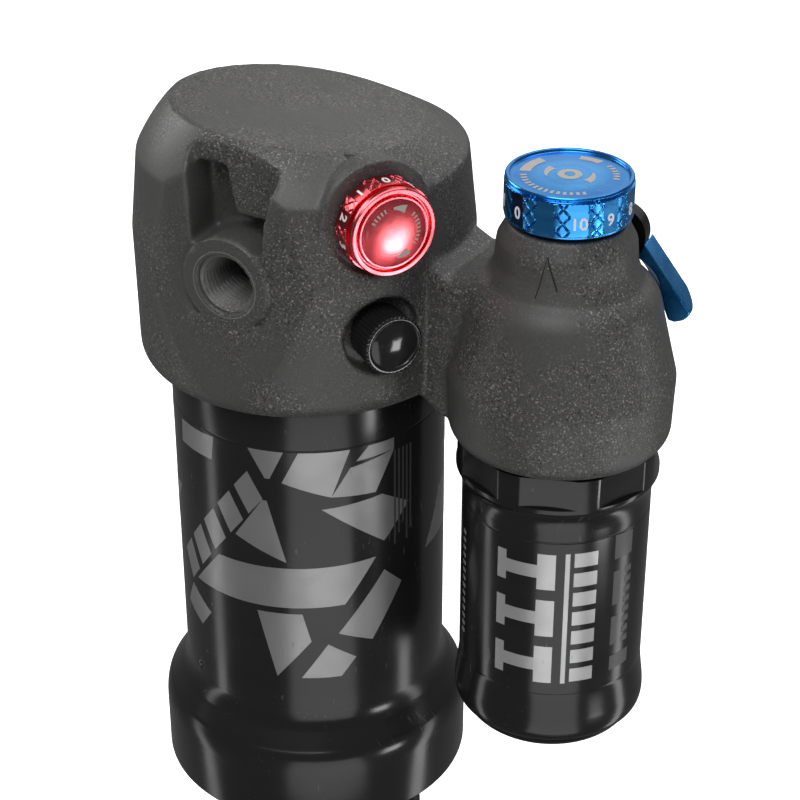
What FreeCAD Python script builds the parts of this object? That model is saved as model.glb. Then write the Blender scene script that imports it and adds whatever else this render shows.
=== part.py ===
"""Trunnion-mount air shock for a bicycle frame, with a piggyback reservoir.

Frame: origin at the centre of the lower eyelet bore, +Z up along the shock, +X towards the
reservoir, Y along the upper trunnion axis. Millimetres.
"""
import FreeCAD, Part
import math
import os

os.makedirs("parts", exist_ok=True)
V = FreeCAD.Vector

# ---- driving dimensions -------------------------------------------------------------------
EYE_TO_TRUNNION = 185.0      # length at full extension, lower eyelet to trunnion axis
STROKE = 55.0                # shaft travel
TRUNNION_WIDTH = 54.0        # over the two threaded faces
TRUNNION_R = 4.5             # wall of the M10x1 tapped hole
TRUNNION_DEPTH = 13.0
EYELET_BORE_R = 4.0          # 8 mm mounting bolt
HARDWARE_WIDTH = 30.0        # lower mounting hardware, face to face

CAN_R = 24.75                # air can, outside
CAN_BORE_R = 22.5
CAN_BOTTOM = 74.2
CAN_SHOULDER = 161.7
CAN_TOP = 167.4
FLARE_R = 29.2
STANCHION_R = 18.0
STANCHION_BORE_R = 16.3
STANCHION_BOTTOM = 14.5
STANCHION_TOP = 96.0
SHAFT_R = 6.35
SHAFT_BORE_R = 3.0
SHAFT_BOTTOM = 75.0
ROD_R = 2.6

HEAD_BOTTOM = 162.0
HEAD_R = 29.95               # widest radius of the body cap
HEAD_BELT = 186.6            # parting line of the forging
HEAD_DRAFT = 0.104           # inward lean of the wall above it
AIR_CEILING = 168.0

RES_X = 49.3                 # reservoir axis
RES_R = 16.48
RES_BORE_R = 14.4
RES_BOTTOM = 102.5
RES_COLLAR = 150.4
RES_HEAD_BOTTOM = 157.4
NECK_TOP = 196.5

PORT_ANGLE = 55.0            # rebound knob and air valve, turned from -Y towards +X
REBOUND_Z = 197.2
VALVE_Z = 176.8
PORT_FACE = 28.3             # flat that the two ports stand on, from the main axis
LEVER_ANGLE = 95.0           # plane of the lever's blade
LEVER_Z = 190.9

LEVER_SEAT = 8.7             # flat behind the neck that the lever's hub turns on
PIVOT_OFFSET = 5.7           # lever pivot, out from the reservoir axis along the lever's plane
LEVER_HUB_R = 5.0

CAN_THREAD_R = 23.8
SHAFT_TAIL_R = 5.0
REBOUND_SCREW_R = 2.6
VALVE_R = 3.9
RES_THREAD_R = 15.7
BASE_VALVE_R = 11.0
CARTRIDGE_R = 6.4
LEVER_SHAFT_R = 2.0

CROWN_SLOPE = (0.083, 0.093)  # fall of the top face along X and Y
CROWN_CENTRE = V(-0.74, -0.40, 207.0)
CROWN_R = 21.7                # rim of the top face
CROWN_FOOT = 200.4            # the bevel starts here
CROWN_BULGE = 0.2             # swell of the bevel halfway up
BOSS_R = 8.1
FLANK_Y = 26.2                # flat flanks beside the trunnion bosses
FLANK_CORNER_R = 14.0         # wide curve between a flank and the round wall
FLANK_FOOT = 182.0            # below this the flank leans out to meet the round lip
BRIDGE_HALF_WIDTH = 9.5

KNOB_FACE = 33.6              # rebound knob, from the main axis
KNOB_FOOT = 27.9
DOME_R = 36.0
REBOUND_FLATS = 10
VALVE_TIP = 32.0
CAP_TIP = 34.1
CAP_FOOT = 27.3
CAP_RIBS = 40
KNOB_LOW = 197.0              # compression knob
KNOB_HIGH = 204.6
COMPRESSION_R = 10.6
COMPRESSION_FLATS = 12

EYELET_R = 11.5
EYELET_HALF_WIDTH = 6.5
EYELET_CLEAR = 9.8            # the end cap starts above the mounting hardware
BUSHING_R = 7.5
PIN_R = 6.35

RUN = 0.05                   # radial clearance of running fits
FIT = 0.02                   # radial clearance of seals and pressed rings

parts = {}


# ---- helpers ------------------------------------------------------------------------------
def cyl(r, low, high, x=0.0, y=0.0):
    """Upright solid cylinder."""
    return Part.makeCylinder(r, high - low, V(x, y, low))


def ring(r_out, r_in, low, high, x=0.0, y=0.0):
    """Upright tube."""
    return cyl(r_out, low, high, x, y).cut(cyl(r_in, low - 1.0, high + 1.0, x, y))


def lathe(points, x=0.0):
    """Solid turned about the upright axis at x, from an outline of (radius, height) points.

    A point with a third value is the middle of an arc between its neighbours.
    """
    edges = []
    start = points[0]
    middle = None
    for point in list(points[1:]) + [points[0]]:
        if len(point) == 3:
            middle = point
            continue
        a = V(start[0], 0, start[1])
        b = V(point[0], 0, point[1])
        if middle is None:
            edges.append(Part.LineSegment(a, b).toShape())
        else:
            edges.append(Part.Arc(a, V(middle[0], 0, middle[1]), b).toShape())
        start = point
        middle = None
    face = Part.Face(Part.Wire(edges))
    solid = face.revolve(V(0, 0, 0), V(0, 0, 1), 360)
    solid.translate(V(x, 0, 0))
    return solid


def to_port(shape, height, angle=PORT_ANGLE, x=0.0):
    """Turn a solid built along +Z from the origin into a radial one at the given height."""
    shape = shape.copy()
    shape.rotate(V(0, 0, 0), V(1, 0, 0), 90)
    shape.rotate(V(0, 0, 0), V(0, 0, 1), angle)
    shape.translate(V(x, 0, height))
    return shape


def to_port_point(rho, z, angle=PORT_ANGLE, x=0.0):
    """Point at a distance rho from the upright axis at x, in the direction of a port."""
    a = math.radians(angle)
    return V(x + rho * math.sin(a), -rho * math.cos(a), z)


def on_pivot(shape):
    """Lay a solid built along +Z along the lever's pivot, which is square to the lever's plane."""
    return to_port(shape, LEVER_Z, LEVER_ANGLE + 90.0, RES_X)


def along_y(r, low, high, x=0.0, z=0.0):
    """Solid cylinder lying along Y."""
    return Part.makeCylinder(r, high - low, V(x, low, z), V(0, 1, 0))


def ring_y(r_out, r_in, low, high):
    """Tube lying along Y through the origin."""
    return along_y(r_out, low, high).cut(along_y(r_in, low - 1.0, high + 1.0))


def torus(major, minor, z, x=0.0):
    return Part.makeTorus(major, minor, V(x, 0, z), V(0, 0, 1))


def box(x0, x1, y0, y1, z0, z1):
    return Part.makeBox(x1 - x0, y1 - y0, z1 - z0, V(x0, y0, z0))


def holes(count, r, circle, low, high, x=0.0):
    """Upright cylinders spaced evenly round a circle."""
    tools = []
    for i in range(count):
        a = 2 * math.pi * i / count
        tools.append(cyl(r, low, high, x + circle * math.cos(a), circle * math.sin(a)))
    return tools


def prism(outline, y0, y1):
    """Solid with an (x, z) outline, carried from y0 to y1."""
    wire = Part.makePolygon([V(x, y0, z) for x, z in outline + [outline[0]]])
    return Part.Face(wire).extrude(V(0, y1 - y0, 0))


def hexagon(across, low, high, x=0.0, y=0.0):
    """Upright hexagonal prism, given across its flats."""
    r = across / math.sqrt(3.0)
    corners = [V(x + r * math.cos(math.radians(60 * i)), y + r * math.sin(math.radians(60 * i)), low)
               for i in range(7)]
    return Part.Face(Part.makePolygon(corners)).extrude(V(0, 0, high - low))


def rounded(solid, radius, wanted):
    """Round the edges for which wanted(edge) holds."""
    edges = [edge for edge in solid.Edges if wanted(edge)]
    return solid.makeFillet(radius, edges)


def fused(shapes):
    first = shapes[0]
    return first.fuse(shapes[1:]).removeSplitter()


def cut_all(shape, tools):
    for tool in tools:
        shape = shape.cut(tool)
    return shape


def single(shape):
    """The one solid of a boolean result."""
    return shape.Solids[0] if len(shape.Solids) == 1 else shape


def add(name, shape):
    parts[name] = single(shape)


# ---- head forging: body cap, bridge and reservoir head in one piece -----------------------
def flank_cut(side):
    """What is taken off the round wall beside one trunnion boss: a flat that runs out in curves."""
    reach = HEAD_R - FLANK_CORNER_R
    corner_y = FLANK_Y - FLANK_CORNER_R
    corner_x = math.sqrt(reach ** 2 - corner_y ** 2)
    half = corner_x * HEAD_R / reach
    slope = 5.0
    low = FLANK_FOOT - slope * (45.0 - FLANK_Y)
    high = FLANK_FOOT + slope * (FLANK_Y - corner_y)
    outline = [(-45.0, low), (-corner_y, high), (-corner_y, high + 10.0), (-45.0, high + 10.0)]
    corners = [V(-half, y, z) for y, z in outline + [outline[0]]]
    block = Part.Face(Part.makePolygon(corners)).extrude(V(2 * half, 0, 0))
    keep = [box(-corner_x, corner_x, -FLANK_Y, 0, 80, 280),
            cyl(FLANK_CORNER_R, 80, 280, corner_x, -corner_y),
            cyl(FLANK_CORNER_R, 80, 280, -corner_x, -corner_y)]
    tool = cut_all(block, keep)
    if side > 0:
        tool.rotate(V(0, 0, 0), V(0, 0, 1), 180)
    return tool


def circle_wire(centre, normal, r):
    return Part.Wire(Part.makeCircle(r, centre, normal))


def body_cap():
    """Drafted cap over the air can; a swelling bevel joins it to the tilted round top face."""
    wall_r = HEAD_R - HEAD_DRAFT * (CROWN_FOOT - HEAD_BELT)
    outline = [(0, HEAD_BOTTOM), (27.9, HEAD_BOTTOM), (29.2, 163.4, 0), (29.7, 165.2), (29.75, 166.6),
               (HEAD_R, HEAD_BELT), (wall_r, CROWN_FOOT), (0, CROWN_FOOT)]
    up = V(CROWN_SLOPE[0], CROWN_SLOPE[1], 1.0).normalize()
    half_up = V(CROWN_SLOPE[0] / 2, CROWN_SLOPE[1] / 2, 1.0).normalize()
    foot = V(0, 0, CROWN_FOOT)
    middle = (CROWN_CENTRE + foot) * 0.5 + V(0, 0, CROWN_BULGE)
    wires = [circle_wire(foot, V(0, 0, 1), wall_r),
             circle_wire(middle, half_up, (CROWN_R + wall_r) / 2 + CROWN_BULGE),
             circle_wire(CROWN_CENTRE, up, CROWN_R)]
    crown = Part.makeLoft(wires, True, False)
    cap = fused([lathe(outline), crown])
    return cut_all(cap, [flank_cut(-1), flank_cut(1)])


HEAD_SHOULDER = [(19.37, 168.8), (16.3, 181.4), (15.2, 184.4, 0), (13.1, 186.4), (11.9, 189.4)]


def reservoir_head():
    """Turned shape over the reservoir: skirt, shoulder and neck."""
    outline = [(0, RES_HEAD_BOTTOM), (17.9, RES_HEAD_BOTTOM), (18.75, 158.4, 0), (19.1, 160.2)]
    outline += HEAD_SHOULDER
    outline += [(11.6, 193.4), (9.9, NECK_TOP), (0, NECK_TOP)]
    return lathe(outline, RES_X)


def bridge():
    """Web between the two heads, with a rounded valley along its top."""
    outline = [(8, 163.5), (26, 163.5), (31, 159.5), (44, 159.5), (44, 188.5),
               (37.5, 187.4), (32.5, 186.0), (28.5, 188.2), (25.5, 194.0), (8, 196.0)]
    web = prism(outline, -BRIDGE_HALF_WIDTH, BRIDGE_HALF_WIDTH)
    web = rounded(web, 2.4, lambda e: abs(e.BoundBox.YMax - e.BoundBox.YMin) < 0.01
                  and e.BoundBox.XMin > 24.0 and e.BoundBox.ZMin > 185.0)
    return web


def trunnion_bosses():
    """Cross bar that carries both threaded faces."""
    half = TRUNNION_WIDTH / 2.0
    return along_y(BOSS_R, -half, half, z=EYE_TO_TRUNNION)


def port_bosses():
    """Round pads under the rebound knob and the air valve, on one flat."""
    knob_pad = to_port(Part.makeCone(9.0, 10.2, 7.6, V(0, 0, 20.0)), REBOUND_Z)
    valve_pad = to_port(cyl(8.2, 12.0, PORT_FACE + 0.3), VALVE_Z)
    return [knob_pad, valve_pad]


def trunnion_pocket(side):
    """Channel above a trunnion boss, with a raised pad on its back; the front one opens into the bevel."""
    top = 204.6 if side < 0 else 200.5
    deep = prism([(-6.6, 190.8), (6.6, 190.8), (7.0, 196.0), (9.2, top), (-7.2, top)], -35.0, -18.2)
    channel = rounded(deep, 1.2, lambda e: e.BoundBox.YMax - e.BoundBox.YMin > 16.0)
    if side < 0:
        mouth = prism([(-7.1, 202.0), (8.7, 202.0), (10.2, 214.0), (-8.4, 214.0)], -35.0, -22.9)
        channel = channel.fuse(mouth)
    pad = prism([(0.2, 196.0), (12.0, 196.0), (12.0, 206.0), (-1.8, 206.0)], -22.6, -15.0)
    tool = channel.cut(pad)
    if side > 0:
        tool.rotate(V(0, 0, 0), V(0, 0, 1), 180)
    return tool


def head_bores():
    """Everything that is bored or tapped into the forging."""
    half = TRUNNION_WIDTH / 2.0
    tools = [
        cyl(CAN_THREAD_R + RUN, HEAD_BOTTOM - 1, AIR_CEILING),
        cyl(SHAFT_TAIL_R + FIT, AIR_CEILING - 1, 178.0),
        cyl(ROD_R + 0.3, 177.0, REBOUND_Z + 2.0),
        to_port(cyl(REBOUND_SCREW_R + RUN, 3.0, 40.0), REBOUND_Z),
        to_port(cyl(9.0, 27.6, 40.0), REBOUND_Z),
        to_port(cyl(0.85, 26.0, 30.0, 0.0, -5.6), REBOUND_Z),
        cyl(0.85, 195.6, 198.0, RES_X - 7.6),
        to_port(cyl(6.9, PORT_FACE - 1.6, 40.0), VALVE_Z),
        to_port(cyl(VALVE_R + FIT, 15.0, 40.0), VALVE_Z),
        Part.makeCylinder(1.5, 12.0, to_port_point(17.0, AIR_CEILING - 1)),
        Part.makeCylinder(1.8, RES_X - 6.0, V(6.0, 0, 173.5), V(1, 0, 0)),
        cyl(RES_THREAD_R + RUN, RES_HEAD_BOTTOM - 1, 164.6, RES_X),
        cyl(BASE_VALVE_R + RUN, 164.0, 181.5, RES_X),
        cyl(CARTRIDGE_R + RUN, 181.0, NECK_TOP + 1, RES_X),
        on_pivot(cyl(LEVER_SHAFT_R + RUN, 5.4, 20.0, -PIVOT_OFFSET)),
        on_pivot(cyl(LEVER_HUB_R + 0.6, LEVER_SEAT, 24.0, -PIVOT_OFFSET)),
    ]
    for side in (-1, 1):
        inner = side * (half - TRUNNION_DEPTH)
        outer = side * (half + 1.0)
        low, high = sorted((inner, outer))
        tools.append(along_y(TRUNNION_R, low, high, z=EYE_TO_TRUNNION))
        mouth = Part.makeCone(5.75, TRUNNION_R, 1.25, V(0, side * half, EYE_TO_TRUNNION), V(0, -side, 0))
        tools.append(mouth)
    return tools


def head_forging():
    """The whole forging, after machining."""
    port_flat = to_port(box(-40, 40, -REBOUND_Z - 30, -168.0, PORT_FACE, 60), 0)
    cap = body_cap().cut(port_flat)
    solid = fused([cap, bridge(), reservoir_head()] + port_bosses())
    for side in (-1, 1):
        solid = solid.cut(trunnion_pocket(side))
    solid = fused([solid, trunnion_bosses()])
    return cut_all(solid, head_bores())


add("head_forging", head_forging())


# ---- air can and its seals ----------------------------------------------------------------
def air_can():
    """Air sleeve with a flared foot that holds the negative chamber and the seals."""
    outline = [
        (STANCHION_R + 0.3, CAN_BOTTOM), (FLARE_R - 0.5, CAN_BOTTOM), (FLARE_R, CAN_BOTTOM + 0.5),
        (FLARE_R, 86.3), (28.85, 88.9, 0), (27.9, 90.6), (26.2, 93.1), (25.05, 95.3, 0), (CAN_R, 97.8),
        (CAN_R, CAN_SHOULDER), (CAN_THREAD_R, CAN_SHOULDER), (CAN_THREAD_R, CAN_TOP),
        (CAN_BORE_R, CAN_TOP), (CAN_BORE_R, 94.0), (25.6, 90.5), (25.6, 85.0), (STANCHION_R + 0.3, 85.0)]
    can = lathe(outline)
    grooves = [ring(20.6, 17.0, CAN_BOTTOM - 1, 76.6), ring(20.3, 17.0, 77.6, 79.8),
               ring(19.4, 17.0, 80.6, 84.4), ring(25.0, 23.0, 163.6, 164.8)]
    dimple = Part.makeSphere(1.1, to_port_point(CAN_R + 0.5, 99.8, -31.0))
    return cut_all(can, grooves + [dimple])


add("air_can", air_can())
add("can_wiper", ring(20.58, STANCHION_R + FIT, CAN_BOTTOM + 0.1, 76.5))
add("can_quad_seal", ring(20.28, STANCHION_R + FIT, 77.7, 79.7))
add("can_glide_band", ring(19.38, STANCHION_R + FIT, 80.7, 84.3))
add("head_oring", ring(CAN_THREAD_R + 0.03, 23.02, 163.65, 164.75))
add("volume_spacer", ring(21.6, 15.0, 163.9, 167.9))


# ---- damper shaft and main piston, fixed to the head --------------------------------------
def damper_shaft():
    """Hollow shaft: threaded tail in the head, shoulder, plain shaft and piston post."""
    outline = [
        (SHAFT_BORE_R, SHAFT_BOTTOM), (3.9, SHAFT_BOTTOM), (3.9, 88.0), (SHAFT_R, 88.0),
        (SHAFT_R, 166.0), (9.0, 166.0), (9.0, AIR_CEILING - 0.1), (SHAFT_TAIL_R, AIR_CEILING - 0.1),
        (SHAFT_TAIL_R, 177.5), (SHAFT_BORE_R, 177.5)]
    shaft = lathe(outline)
    ports = [Part.makeCylinder(1.2, 16, V(0, 0, 86.4), V(math.cos(a), math.sin(a), 0))
             for a in (0.0, math.pi / 2, math.pi, 3 * math.pi / 2)]
    feed = Part.makeCylinder(1.8, 8.0, V(2.0, 0, 173.5), V(1, 0, 0))
    return cut_all(shaft, ports[:2] + [feed])


def main_piston():
    """Piston with eight ports, a land for the glide band and a bore for the post."""
    body = ring(15.9, 3.95, 78.9, 84.3)
    body = body.cut(ring(17.0, 15.2, 79.9, 83.3))
    return cut_all(body, holes(8, 1.5, 10.5, 78, 85))


add("damper_shaft", damper_shaft())
add("main_piston", main_piston())
add("piston_glide_band", ring(STANCHION_BORE_R - RUN, 15.25, 80.0, 83.2))
SHIMS = [(12.6, 0.30), (10.8, 0.25), (9.0, 0.25), (7.4, 0.30)]     # radius, thickness


def shim_stack(start, direction):
    """Tapering stack of thin discs that lies on a face of the piston."""
    discs = []
    z = start
    for radius, thick in SHIMS:
        low, high = sorted((z, z + direction * thick))
        discs.append(ring(radius, 3.95, low, high))
        z += direction * thick
    return fused(discs)


add("compression_shims", shim_stack(84.35, 1))
add("rebound_shims", shim_stack(78.85, -1))
add("shim_washers", Part.makeCompound([ring(6.2, 3.95, 85.5, 87.95), ring(6.2, 3.95, 77.0, 77.7)]))
add("piston_nut", hexagon(11.0, 75.2, 76.95).cut(cyl(3.95, 70, 80)))
add("topout_bumper", ring(10.2, SHAFT_R + RUN, 88.3, 90.0))
add("bottom_out_bumper", ring(14.6, 9.1, 163.9, 167.9))

# ---- rebound adjuster ---------------------------------------------------------------------
def with_flats(blank, count, distance, low, high):
    """Grind evenly spaced flats on a knob that stands on the origin's axis."""
    for i in range(count):
        flat = box(distance, 40, -20, 20, low, high)
        flat.rotate(V(0, 0, 0), V(0, 0, 1), 360.0 * i / count)
        blank = blank.cut(flat)
    return blank


def rebound_knob():
    """Knob with numbered flats, a groove, a rim and a domed face, hollow underneath."""
    def dome(r):
        """Height of the spherical face at radius r."""
        return KNOB_FACE + 0.4 - DOME_R + math.sqrt(DOME_R ** 2 - r ** 2)

    foot = KNOB_FOOT + 0.2
    outline = [(3.4, foot), (3.4, 30.6), (6.9, 30.6), (6.9, foot), (8.1, foot), (7.95, 31.9), (7.0, 31.9),
               (7.0, 32.6), (7.4, 32.6), (7.6, 32.8), (7.6, KNOB_FACE - 0.15), (7.45, KNOB_FACE),
               (6.8, KNOB_FACE),
               (6.7, KNOB_FACE - 0.5), (6.1, KNOB_FACE - 0.5), (6.0, dome(6.0)), (3.0, dome(3.0), 0),
               (0, dome(0)), (0, 31.8), (2.3, 31.8), (2.3, foot)]
    return with_flats(lathe(outline), REBOUND_FLATS, 7.75, foot - 1, 31.9)


def rebound_screw():
    """Adjuster shaft inside the head, with a groove for its o-ring and an offset cam pin."""
    shaft = cyl(REBOUND_SCREW_R, 4.4, 26.9)
    tip = cyl(2.25, 26.9, 31.7)
    groove = ring(4.0, 1.9, 22.0, 23.4)
    pin = cyl(0.9, 3.4, 4.4, 0.0, 1.4)
    return fused([shaft, tip, pin]).cut(groove)


add("rebound_knob", to_port(rebound_knob(), REBOUND_Z))
add("rebound_screw", to_port(rebound_screw(), REBOUND_Z))
add("rebound_oring", to_port(ring(REBOUND_SCREW_R, 1.95, 22.1, 23.3), REBOUND_Z))
add("rebound_detent", Part.makeSphere(0.8, to_port_point(27.3, REBOUND_Z - 5.6)))
rod_outline = [(0, 77.0), (0.5, 77.0), (1.7, 82.5), (1.7, 90.0), (ROD_R, 91.5), (ROD_R, 192.0),
               (1.2, 193.6), (0, 193.6)]
add("metering_rod", lathe(rod_outline))

# ---- air valve ----------------------------------------------------------------------------
def valve_body():
    """Barrel of the air valve, with a flange that seats in the head."""
    body = fused([cyl(VALVE_R, 15.5, VALVE_TIP), cyl(4.6, PORT_FACE - 1.6, PORT_FACE - 1.1)])
    return body.cut(cyl(2.6, 14.0, VALVE_TIP + 1))


def valve_cap():
    """Moulded cap with fine ribs and a toothed rim round its end."""
    shell = lathe([(4.05, CAP_FOOT), (5.0, CAP_FOOT), (5.05, CAP_TIP - 1.2), (5.25, CAP_TIP - 1.1),
                   (5.25, CAP_TIP - 0.5), (4.7, CAP_TIP), (4.2, CAP_TIP), (4.0, CAP_TIP - 0.25),
                   (0, CAP_TIP - 0.25), (0, VALVE_TIP + 0.4), (4.05, VALVE_TIP + 0.4)])
    grooves = holes(CAP_RIBS, 0.17, 5.1, CAP_FOOT + 0.6, CAP_TIP - 1.3)
    return shell.cut(Part.makeCompound(grooves))


add("valve_body", to_port(valve_body(), VALVE_Z))
add("valve_core", to_port(ring(2.55, 0.75, 18.0, 30.4), VALVE_Z))
add("valve_pin", to_port(fused([cyl(0.6, 16.6, 31.4), cyl(1.8, 16.6, 17.6)]), VALVE_Z))
add("valve_cap", to_port(valve_cap(), VALVE_Z))

# ---- reservoir ----------------------------------------------------------------------------
def reservoir_tube():
    """Tube with a rolled bead at its foot and a collar with eight spanner flats."""
    outline = [
        (RES_BORE_R, RES_BOTTOM), (16.6, RES_BOTTOM), (17.15, RES_BOTTOM + 1.6, 0),
        (16.9, RES_BOTTOM + 5.0),
        (16.5, RES_BOTTOM + 8.6, 0), (RES_R, RES_BOTTOM + 10.0), (RES_R, 146.2),
        (16.8, 148.9, 0), (17.6, RES_COLLAR), (17.6, RES_HEAD_BOTTOM - 0.5),
        (RES_THREAD_R, RES_HEAD_BOTTOM - 0.5), (RES_THREAD_R, 164.2), (RES_BORE_R, 164.2)]
    tube = lathe(outline, RES_X)
    flats = []
    for i in range(8):
        flat = box(16.9, 30, -20, 20, 151.2, RES_HEAD_BOTTOM)
        flat.rotate(V(0, 0, 0), V(0, 0, 1), 45.0 * i + 62.7)
        flat.translate(V(RES_X, 0, 0))
        flats.append(flat)
    return cut_all(tube, flats)


def end_plug():
    """Domed plug that screws into the foot of the reservoir."""
    base = RES_BOTTOM
    outline = [
        (0, base - 3.4), (11.5, base - 3.4), (14.6, base - 2.6, 0), (15.9, base - 0.1),
        (RES_BORE_R - FIT, base - 0.1), (RES_BORE_R - FIT, base + 5.5), (11.0, base + 5.5),
        (11.0, base + 0.5), (0, base + 0.5)]
    plug = lathe(outline, RES_X)
    return cut_all(plug, [cyl(3.0, base - 5, base + 2, RES_X),
                          ring(15.4, 13.6, base + 2.4, base + 4.0, RES_X)])


def fill_screw():
    """Socket-headed screw that closes the reservoir's charge port."""
    screw = fused([cyl(2.98, RES_BOTTOM - 3.5, RES_BOTTOM + 1.6, RES_X),
                   cyl(4.2, RES_BOTTOM - 4.0, RES_BOTTOM - 3.45, RES_X)])
    return screw.cut(hexagon(3.0, RES_BOTTOM - 5.0, RES_BOTTOM - 1.4, RES_X))


def floating_piston():
    """Piston between the oil and the gas of the reservoir."""
    outline = [
        (0, 136.5), (9.0, 136.5), (9.0, 133.0), (RES_BORE_R - 0.3, 133.0), (RES_BORE_R - 0.3, 143.0),
        (0, 143.0)]
    piston = lathe(outline, RES_X)
    grooves = [ring(16, 13.0, 137.4, 139.8, RES_X), ring(16, 13.5, 134.0, 136.2, RES_X)]
    return cut_all(piston, grooves)


add("reservoir_tube", reservoir_tube())
add("reservoir_end_plug", end_plug())
add("end_plug_oring", ring(RES_BORE_R - FIT, 13.65, RES_BOTTOM + 2.5, RES_BOTTOM + 3.9, RES_X))
add("fill_screw", fill_screw())
add("floating_piston", floating_piston())
add("floating_piston_seal", ring(RES_BORE_R - FIT, 13.05, 137.5, 139.7, RES_X))
add("floating_piston_band", ring(RES_BORE_R - FIT, 13.55, 134.1, 136.1, RES_X))

# ---- compression adjuster: base valve, knob and lever -------------------------------------
def base_valve_body():
    """Cartridge that carries the base valve and guides the needle."""
    outline = [
        (1.7, 158.5), (3.6, 158.5), (3.6, 163.2), (BASE_VALVE_R, 163.2), (BASE_VALVE_R, 172.0),
        (6.0, 172.0), (6.0, 181.6), (CARTRIDGE_R, 181.6), (CARTRIDGE_R, 190.0), (1.7, 190.0)]
    body = lathe(outline, RES_X)
    return cut_all(body, holes(6, 1.1, 8.2, 162, 173, RES_X))


def base_valve_piston():
    """Fixed piston of the base valve, with six ports."""
    body = ring(13.4, 3.65, 159.6, 162.6, RES_X)
    return cut_all(body, holes(6, 1.3, 8.8, 159, 164, RES_X))


def compression_knob():
    """Blue dial: numbered flats, raised rim and a shallow dished top, hollow underneath."""
    top = KNOB_HIGH
    outline = [(4.6, KNOB_LOW), (4.6, 201.6), (9.0, 201.6), (9.0, KNOB_LOW), (9.7, KNOB_LOW),
               (10.45, KNOB_LOW + 0.9), (COMPRESSION_R, top - 1.1), (10.1, top - 1.1),
               (10.25, top - 0.8), (10.5, top - 0.3), (10.3, top),
               (9.75, top), (9.6, top - 0.45), (0, top - 0.25), (0, 202.0), (2.45, 202.0),
               (2.45, KNOB_LOW)]
    knob = with_flats(lathe(outline), COMPRESSION_FLATS, COMPRESSION_R - 0.3, KNOB_LOW + 0.9, top - 1.1)
    knob.translate(V(RES_X, 0, 0))
    return knob


def compression_screw():
    """Screw under the dial; its flange bears on the needle."""
    shaft = fused([cyl(2.4, 193.2, 201.9, RES_X), cyl(4.0, 192.4, 194.2, RES_X)])
    return shaft


def lever_blade():
    """Finger blade that leaves the hub outwards and downwards, clear of the head's shoulder."""
    outline = [(7.2, 194.0), (19.0, 178.6), (18.9, 177.7), (18.0, 176.8), (16.4, 176.2), (15.3, 176.5),
               (8.0, 187.4), (6.4, 190.8)]
    blade = prism(outline, LEVER_SEAT + 0.6, LEVER_SEAT + 5.4)
    blade = rounded(blade, 0.5, lambda e: e.BoundBox.YMax - e.BoundBox.YMin > 4.7
                    and e.BoundBox.XMin > 14.0)
    corner = box(15.0, 20.0, 10.6, 16.0, 170, 190).cut(cyl(4.1, 165, 195, 15.0, 10.6))
    blade = blade.cut(corner)
    blade.rotate(V(0, 0, 0), V(0, 0, 1), LEVER_ANGLE - 90.0)
    blade.translate(V(RES_X, 0, 0))
    gap = 0.4
    skin = [(point[0] + gap, point[1] + gap) + tuple(point[2:]) for point in HEAD_SHOULDER]
    room = lathe([(0, skin[0][1])] + skin + [(12.3, 196.4), (0, 196.4)], RES_X)
    return blade.cut(room)


def lever_hub():
    """Disc on the pivot, with a raised inner step and a shallow groove round its face."""
    disc = cyl(LEVER_HUB_R, LEVER_SEAT + 0.4, LEVER_SEAT + 3.4, -PIVOT_OFFSET)
    step = cyl(3.6, LEVER_SEAT, LEVER_SEAT + 0.4, -PIVOT_OFFSET)
    bore = cyl(LEVER_SHAFT_R + FIT, 4.0, 30.0, -PIVOT_OFFSET)
    return on_pivot(disc.fuse(step).cut(bore))


def lever_shaft():
    """Pivot shaft with the head of its screw on the outside of the hub."""
    shaft = cyl(LEVER_SHAFT_R, 5.6, LEVER_SEAT + 3.4, -PIVOT_OFFSET)
    head = cyl(3.1, LEVER_SEAT + 3.4, LEVER_SEAT + 4.2, -PIVOT_OFFSET)
    return on_pivot(shaft.fuse(head).cut(hexagon(2.5, LEVER_SEAT + 2.6, LEVER_SEAT + 5.0, -PIVOT_OFFSET)))


add("base_valve_body", base_valve_body())
add("base_valve_piston", base_valve_piston())
valve_shims = [ring(11.2, 3.65, 162.65, 162.9, RES_X), ring(8.4, 3.65, 162.9, 163.15, RES_X)]
add("base_valve_shims", fused(valve_shims))
add("base_valve_nut", hexagon(9.5, 158.6, 159.5, RES_X).cut(cyl(3.65, 150, 170, RES_X)))
needle_outline = [(0, 156.5), (0.5, 156.5), (1.6, 160.0), (1.6, 191.6), (0, 191.6)]
add("compression_needle", lathe(needle_outline, RES_X))
add("compression_knob", compression_knob())
add("compression_screw", compression_screw())
add("compression_detent", Part.makeSphere(0.8, V(RES_X - 7.6, 0, NECK_TOP)))
add("lever_blade", lever_blade().cut(on_pivot(cyl(LEVER_HUB_R + FIT, 4.0, 30.0, -PIVOT_OFFSET))))
add("lever_hub", lever_hub())
add("lever_shaft", lever_shaft())

# ---- moving lower half: stanchion, air piston and eyelet ----------------------------------
def seal_head():
    """Air piston that closes the stanchion and guides the shaft."""
    outline = [
        (SHAFT_R + 0.3, 90.4), (STANCHION_BORE_R - FIT, 90.4), (STANCHION_BORE_R - FIT, STANCHION_TOP),
        (CAN_BORE_R - 0.25, STANCHION_TOP), (CAN_BORE_R - 0.25, 108.0), (SHAFT_R + 0.3, 108.0)]
    body = lathe(outline)
    grooves = [ring(24, 20.4, 97.0, 99.2), ring(24, 19.9, 100.4, 103.4), ring(24, 20.4, 104.6, 106.8),
               ring(8.6, 5.0, 90.0, 95.0), ring(9.2, 5.0, 100.5, 103.5)]
    return cut_all(body, grooves)


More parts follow.
